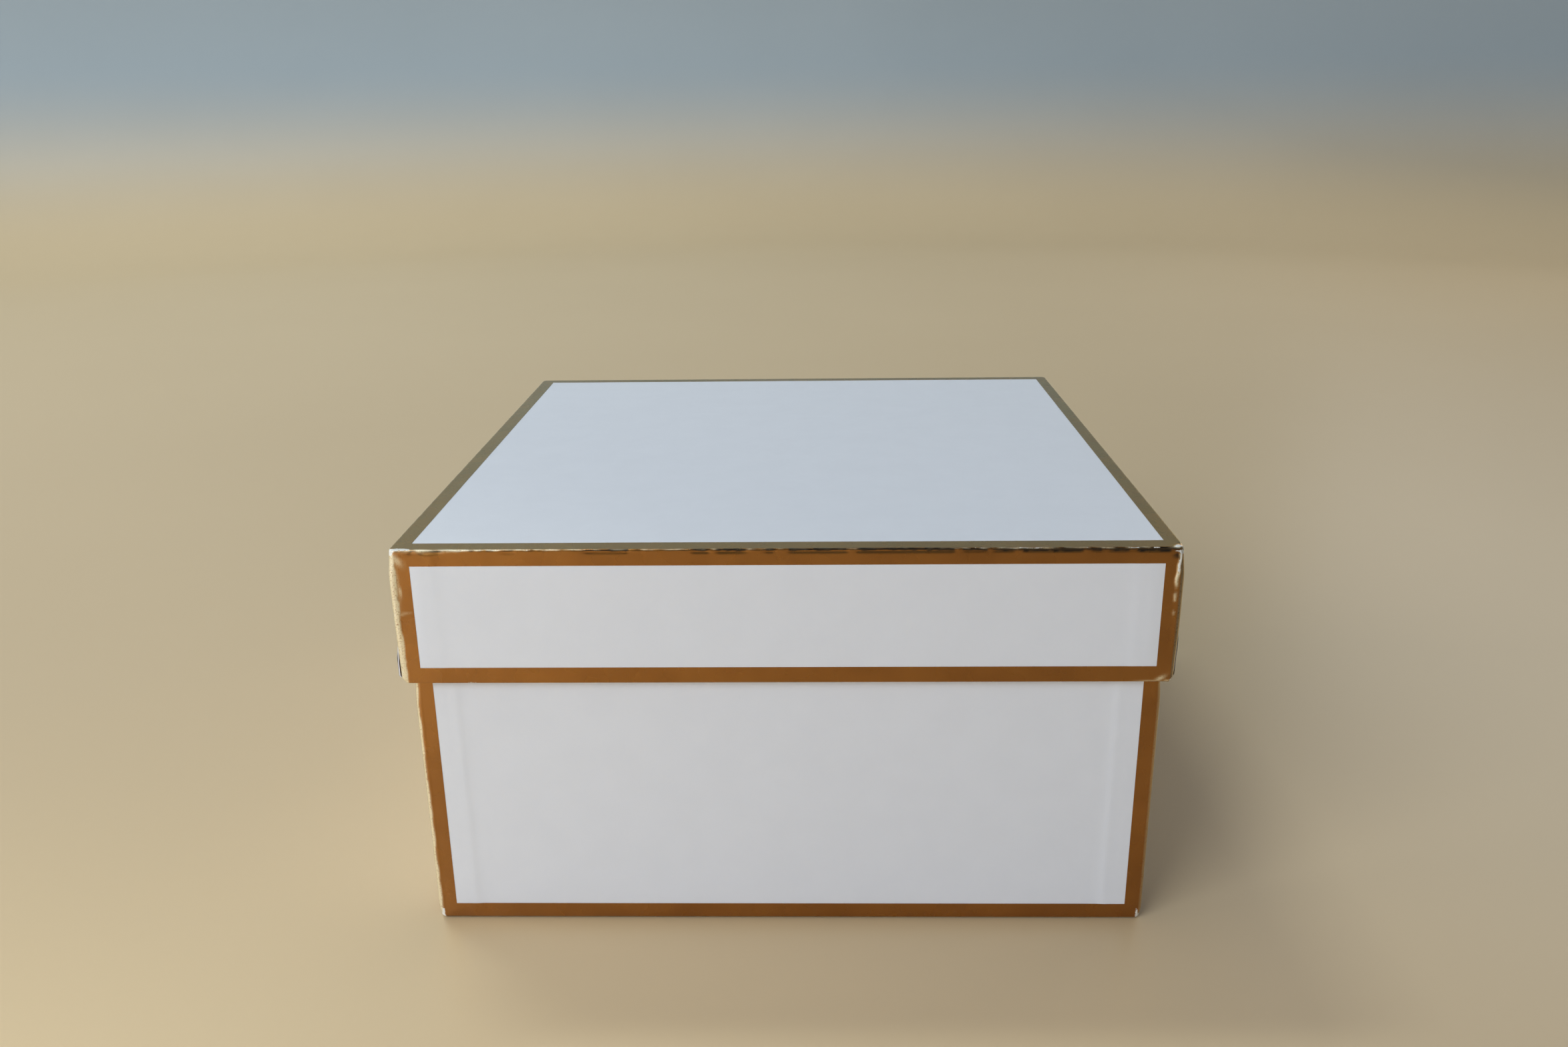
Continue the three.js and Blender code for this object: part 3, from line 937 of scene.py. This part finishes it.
class Shader:
    """Short calls that build one material's node tree. Sizes are in mm over the object."""

    def __init__(self, name, metallic=0.0):
        self.material = bpy.data.materials.new(name)
        self.material.use_nodes = True
        self.tree = self.material.node_tree
        self.surface = self.tree.nodes["Principled BSDF"]
        self.surface.inputs["Metallic"].default_value = metallic
        self.place = self.node("TexCoord").outputs["Object"]

    def node(self, kind):
        """A new node."""
        return self.tree.nodes.new("ShaderNode" + kind)

    def put(self, socket, value):
        """Links a socket to another one, or sets it to a plain value."""
        if isinstance(value, bpy.types.NodeSocket):
            self.tree.links.new(value, socket)
        else:
            socket.default_value = value

    def scaled(self, x, y, z):
        """The object's coordinates stretched unevenly."""
        node = self.node("Mapping")
        node.inputs["Scale"].default_value = (x, y, z)
        self.put(node.inputs["Vector"], self.place)
        return node.outputs["Vector"]

    def noise(self, size, detail=2.0, rough=0.5, where=None):
        """Cloudy values from 0 to 1 with lumps of the given size."""
        node = self.node("TexNoise")
        node.inputs["Scale"].default_value = 1 / (size * MM)
        node.inputs["Detail"].default_value = detail
        node.inputs["Roughness"].default_value = rough
        self.put(node.inputs["Vector"], where or self.place)
        return node.outputs["Fac"]

    def attribute(self, name):
        """A number kept on the vertices of the piece."""
        node = self.node("Attribute")
        node.attribute_name = name
        return node.outputs["Fac"]

    def maths(self, operation, a, b=0.0, clamp=False):
        """One sum or product of values or sockets."""
        node = self.node("Math")
        node.operation = operation
        node.use_clamp = clamp
        self.put(node.inputs[0], a)
        self.put(node.inputs[1], b)
        return node.outputs[0]

    def remap(self, value, low=0.3, high=0.7, new_low=0.0, new_high=1.0):
        """Stretches a range of values, if not given the middle of a noise, softly to a new one."""
        node = self.node("MapRange")
        node.interpolation_type = "SMOOTHSTEP"
        self.put(node.inputs["Value"], value)
        limits = {"From Min": low, "From Max": high, "To Min": new_low, "To Max": new_high}
        for socket, number in limits.items():
            node.inputs[socket].default_value = number
        return node.outputs["Result"]

    def mix(self, factor, a, b):
        """Blends two colours, given as RGB or as sockets."""
        node = self.node("Mix")
        node.data_type = "RGBA"
        self.put(node.inputs[0], factor)
        for socket, value in ((node.inputs[6], a), (node.inputs[7], b)):
            self.put(socket, value if isinstance(value, bpy.types.NodeSocket) else (*value, 1))
        return node.outputs[2]

    def blend(self, factor, a, b):
        """Blends two numbers, given as values or as sockets."""
        node = self.node("Mix")
        node.data_type = "FLOAT"
        self.put(node.inputs[0], factor)
        self.put(node.inputs[2], a)
        self.put(node.inputs[3], b)
        return node.outputs[0]

    def bump(self, height, depth, after=None):
        """Relief of the given depth in mm, laid over an earlier relief."""
        node = self.node("Bump")
        node.inputs["Distance"].default_value = depth * MM
        self.put(node.inputs["Height"], height)
        if after is not None:
            self.put(node.inputs["Normal"], after)
        return node.outputs["Normal"]

    def finish(self, colour, roughness, metallic=None, normal=None):
        """Links the surface and returns the material."""
        linked = {"Base Color": colour, "Roughness": roughness, "Metallic": metallic, "Normal": normal}
        for name, value in linked.items():
            if value is not None:
                self.put(self.surface.inputs[name], value)
        return self.material


def coated_paper():
    """White art paper with a satin coating: nearly smooth, faintly mottled."""
    s = Shader("coated_paper")
    mottle = s.noise(14, 3)
    fine = s.noise(0.35, 3, 0.6)
    colour = s.mix(s.remap(mottle), (0.812, 0.810, 0.838), (0.824, 0.822, 0.850))
    roughness = s.remap(s.noise(5, 3), 0.3, 0.7, 0.40, 0.50)
    relief = s.bump(s.noise(2.2, 2), 0.012)
    relief = s.bump(fine, 0.006, relief)
    return s.finish(colour, roughness, None, relief)


def gold_foil():
    """Hot-stamped foil under clear lacquer, with soft clouds in its colour and gloss. Three
    attributes change it: shade paints it dark, as painted shade and painted dark reflection;
    another makes it a pale, dull cream, partly rubbed foil and partly a painted highlight; and
    where wear is high it is gone and the paper below it shows."""
    s = Shader("gold_foil", metallic=1.0)
    s.surface.inputs["Coat Weight"].default_value = 1.0
    s.surface.inputs["Coat Roughness"].default_value = 0.12
    s.surface.inputs["Specular Tint"].default_value = (1.0, 1.0, 0.55, 1.0)
    clouds = s.noise(15, 1, 0.5)
    specks = s.noise(0.5, 4, 0.6)
    gold = s.mix(s.remap(clouds), (0.34, 0.134, 0.0175), (0.39, 0.160, 0.024))
    # Painted shade and painted dark reflection: where the shade attribute is high the foil turns near
    # black.
    gold = s.mix(s.attribute("shade"), gold, (0.03, 0.014, 0.004))
    roughness = s.remap(s.noise(9, 2), 0.3, 0.7, 0.24, 0.30)
    # Partly painted highlight: rubbed foil turns a pale cream, which also stands in for highlights on
    # the left upright edge, the fold's crest and the right ridge.
    dulled_and_highlit = s.maths("MULTIPLY", s.attribute("scuff_and_highlight"), s.remap(specks, 0.22, 0.5), clamp=True)
    gold = s.mix(dulled_and_highlit, gold, (0.88, 0.76, 0.52))
    roughness = s.blend(dulled_and_highlit, roughness, 0.5)
    speckled = s.maths("MULTIPLY", s.maths("SUBTRACT", specks, 0.5), 1.1)
    bare = s.remap(s.maths("ADD", s.attribute("wear"), speckled), 0.46, 0.58)
    colour = s.mix(bare, gold, (0.85, 0.81, 0.74))
    roughness = s.blend(bare, roughness, 0.7)
    metallic = s.blend(bare, s.blend(dulled_and_highlit, 1.0, 0.45), 0.0)
    relief = s.bump(s.noise(14, 1), 0.02)
    relief = s.bump(s.noise(2.4, 2), 0.0025, relief)
    relief = s.bump(bare, -0.03, relief)
    return s.finish(colour, roughness, metallic, relief)


def plain_paper(name, light, dark, fibre):
    """Uncoated paper with soft fibres."""
    s = Shader(name)
    clouds = s.noise(7, 4, 0.6)
    fibres = s.noise(fibre, 4, 0.7, s.scaled(1, 2.6, 1.7))
    colour = s.mix(s.remap(clouds), dark, light)
    roughness = s.remap(fibres, 0.3, 0.7, 0.72, 0.86)
    relief = s.bump(fibres, 0.02)
    relief = s.bump(clouds, 0.02, relief)
    return s.finish(colour, roughness, None, relief)


def greyboard():
    """Recycled board: grey, speckled with darker and lighter fibres."""
    s = Shader("greyboard")
    flecks = s.noise(0.9, 4, 0.75, s.scaled(1, 3, 2))
    clouds = s.noise(6, 3)
    colour = s.mix(s.remap(clouds), (0.26, 0.235, 0.205), (0.35, 0.32, 0.28))
    colour = s.mix(s.remap(flecks, 0.62, 0.74), colour, (0.12, 0.105, 0.09))
    colour = s.mix(s.remap(flecks, 0.36, 0.26), colour, (0.5, 0.47, 0.42))
    relief = s.bump(flecks, 0.06)
    return s.finish(colour, s.remap(flecks, 0.3, 0.7, 0.85, 0.97), None, relief)


def stay_tape():
    """Kraft paper tape."""
    s = Shader("stay_tape")
    fibres = s.noise(1.2, 4, 0.7, s.scaled(1, 1, 4))
    colour = s.mix(s.remap(fibres), (0.50, 0.40, 0.26), (0.64, 0.53, 0.37))
    return s.finish(colour, s.remap(fibres, 0.3, 0.7, 0.7, 0.88), None, s.bump(fibres, 0.03))


def backdrop_surface():
    """A pale warm floor that turns to a cool grey wall."""
    s = Shader("studio_backdrop")
    split = s.node("SeparateXYZ")
    s.put(split.inputs[0], s.place)
    rise = s.remap(split.outputs["Z"], 0.01, 0.35)
    soft = s.noise(400, 2)
    floor = s.mix(soft, (0.65, 0.478, 0.275), (0.69, 0.512, 0.30))
    wall = s.mix(soft, (0.33, 0.37, 0.395), (0.37, 0.41, 0.435))
    return s.finish(s.mix(rise, floor, wall), s.remap(rise, 0, 1, 0.38, 0.85))


# ---- stage, light and camera

STAGE_RADIUS = 2.6
STAGE_COVE = 0.6
STAGE_HEIGHT = 3.0
STAGE_GAP = 0.0002
FLOOR_RINGS = (0, 0.1, 0.3, 0.6, 1.0, 1.5, STAGE_RADIUS - STAGE_COVE)
COVE_STEPS = 12
STAGE_SEGMENTS = 96

# Where the camera stands, how it is turned in degrees, and its lens in mm.
CAMERA_PLACE = (0.00875, -0.50687, 0.27763)
CAMERA_DOWN = 18.718
CAMERA_LEFT = 1.288
CAMERA_ROLL = -0.698
CAMERA_LENS = 29.175


def make_stage():
    """A round floor that curves up into a wall, a little below the box's underside."""
    profile = [(radius, 0) for radius in FLOOR_RINGS]
    for step in range(1, COVE_STEPS + 1):
        angle = math.radians(90 * step / COVE_STEPS)
        radius = STAGE_RADIUS - STAGE_COVE * (1 - math.sin(angle))
        profile.append((radius, STAGE_COVE * (1 - math.cos(angle))))
    profile.append((STAGE_RADIUS, STAGE_HEIGHT))
    around = STAGE_SEGMENTS
    vertices = [(0, 0, 0)]
    for radius, z in profile[1:]:
        for step in range(around):
            angle = 2 * math.pi * step / around
            vertices.append((radius * math.cos(angle), radius * math.sin(angle), z))
    faces = [(0, 1 + s, 1 + (s + 1) % around) for s in range(around)]
    for ring in range(len(profile) - 2):
        low, high = 1 + ring * around, 1 + (ring + 1) * around
        for s in range(around):
            t = (s + 1) % around
            faces.append((low + s, high + s, high + t, low + t))
    mesh = bpy.data.meshes.new("studio_backdrop")
    mesh.from_pydata(vertices, [], faces)
    mesh.shade_smooth()
    mesh.materials.append(backdrop_surface())
    stage = add_object("studio_backdrop", mesh)
    stage.location.z = cad_bounds[0][2] - STAGE_GAP


# Each softbox: where it stands, what it faces, its size, how far it spreads in degrees, its
# power and its colour.
SOFTBOXES = {
    "key": ((-1.30, -1.45, 0.98), (0, 0, 0.08), (1.3, 1.6), 180, 34.2, (0.775, 0.872, 1.0)),
    "side": ((-2.0, -0.2, 0.9), (-0.2, -0.1, 0.0), (1.0, 1.2), 180, 6.7, (1.0, 0.95, 0.92)),
    "floor": ((-0.25, -0.35, 0.95), (-0.34, -0.46, 0.0), (0.3, 0.3), 50, 0.5, (0.93, 0.97, 0.86)),
    "top": ((-0.3, 0.2, 2.3), (0, 0, 0.1), (1.8, 1.8), 180, 3.4, (0.95, 0.97, 1.0)),
    "back": ((1.3, 1.4, 1.0), (0, 0, 0.08), (1.2, 1.0), 180, 5.0, (1.0, 1.0, 1.0)),
    "wall_wash": ((-1.0, 0.9, 2.7), (-1.3, 2.6, 0.9), (0.8, 0.5), 180, 48, (0.82, 0.94, 1.0)),
}
WORLD_COLOUR = (1, 1, 1, 1)
WORLD_STRENGTH = 0.075


def make_light():
    """The softboxes, and a dim even light all round."""
    for name, (place, target, size, spread, power, colour) in SOFTBOXES.items():
        light = bpy.data.lights.new(name, "AREA")
        light.shape = "RECTANGLE"
        light.size, light.size_y = size
        light.spread = math.radians(spread)
        light.energy = power
        light.color = colour
        lamp = add_object(name, light)
        lamp.location = place
        lamp.rotation_euler = (Vector(target) - Vector(place)).to_track_quat("-Z", "Y").to_euler()
    world = bpy.data.worlds.new("studio")
    world.use_nodes = True
    background = world.node_tree.nodes["Background"].inputs
    background["Color"].default_value = WORLD_COLOUR
    background["Strength"].default_value = WORLD_STRENGTH
    bpy.context.scene.world = world
    bpy.context.scene.view_settings.view_transform = "Standard"


def make_camera():
    """Stands a little above the box in front of it, and looks down at it."""
    down, left, roll = (math.radians(a) for a in (CAMERA_DOWN, CAMERA_LEFT, CAMERA_ROLL))
    level_reach = math.cos(down)
    forward = Vector((-math.sin(left) * level_reach, math.cos(left) * level_reach, -math.sin(down)))
    level = Vector((math.cos(left), math.sin(left), 0))
    above = level.cross(forward)
    right = level * math.cos(roll) + above * math.sin(roll)
    up = above * math.cos(roll) - level * math.sin(roll)
    lens = bpy.data.cameras.new("camera")
    lens.lens = CAMERA_LENS
    lens.sensor_width = 36
    camera = add_object("camera", lens)
    turn = Matrix((right, up, -forward)).transposed().to_4x4()
    camera.matrix_world = Matrix.Translation(CAMERA_PLACE) @ turn
    bpy.context.scene.camera = camera


# ---- putting it together

make_camera()
make_stage()
make_light()

foil_material = gold_foil()
paper_material = coated_paper()
lining_material = plain_paper("lining_paper", (0.80, 0.79, 0.765), (0.755, 0.745, 0.72), 0.5)
node_materials = {
    "board": greyboard(),
    "stay": stay_tape(),
    "bottom": plain_paper("bottom_sheet", (0.80, 0.79, 0.77), (0.74, 0.73, 0.71), 0.7),
}

for tray in (BASE, LID):
    make_paper(tray, paper_material)
    make_foil(tray, foil_material)
    make_lining(tray, lining_material)

for node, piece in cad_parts.items():
    kind = node.split("_")[1]
    if kind in node_materials:
        piece.material_slots[0].material = node_materials[kind]
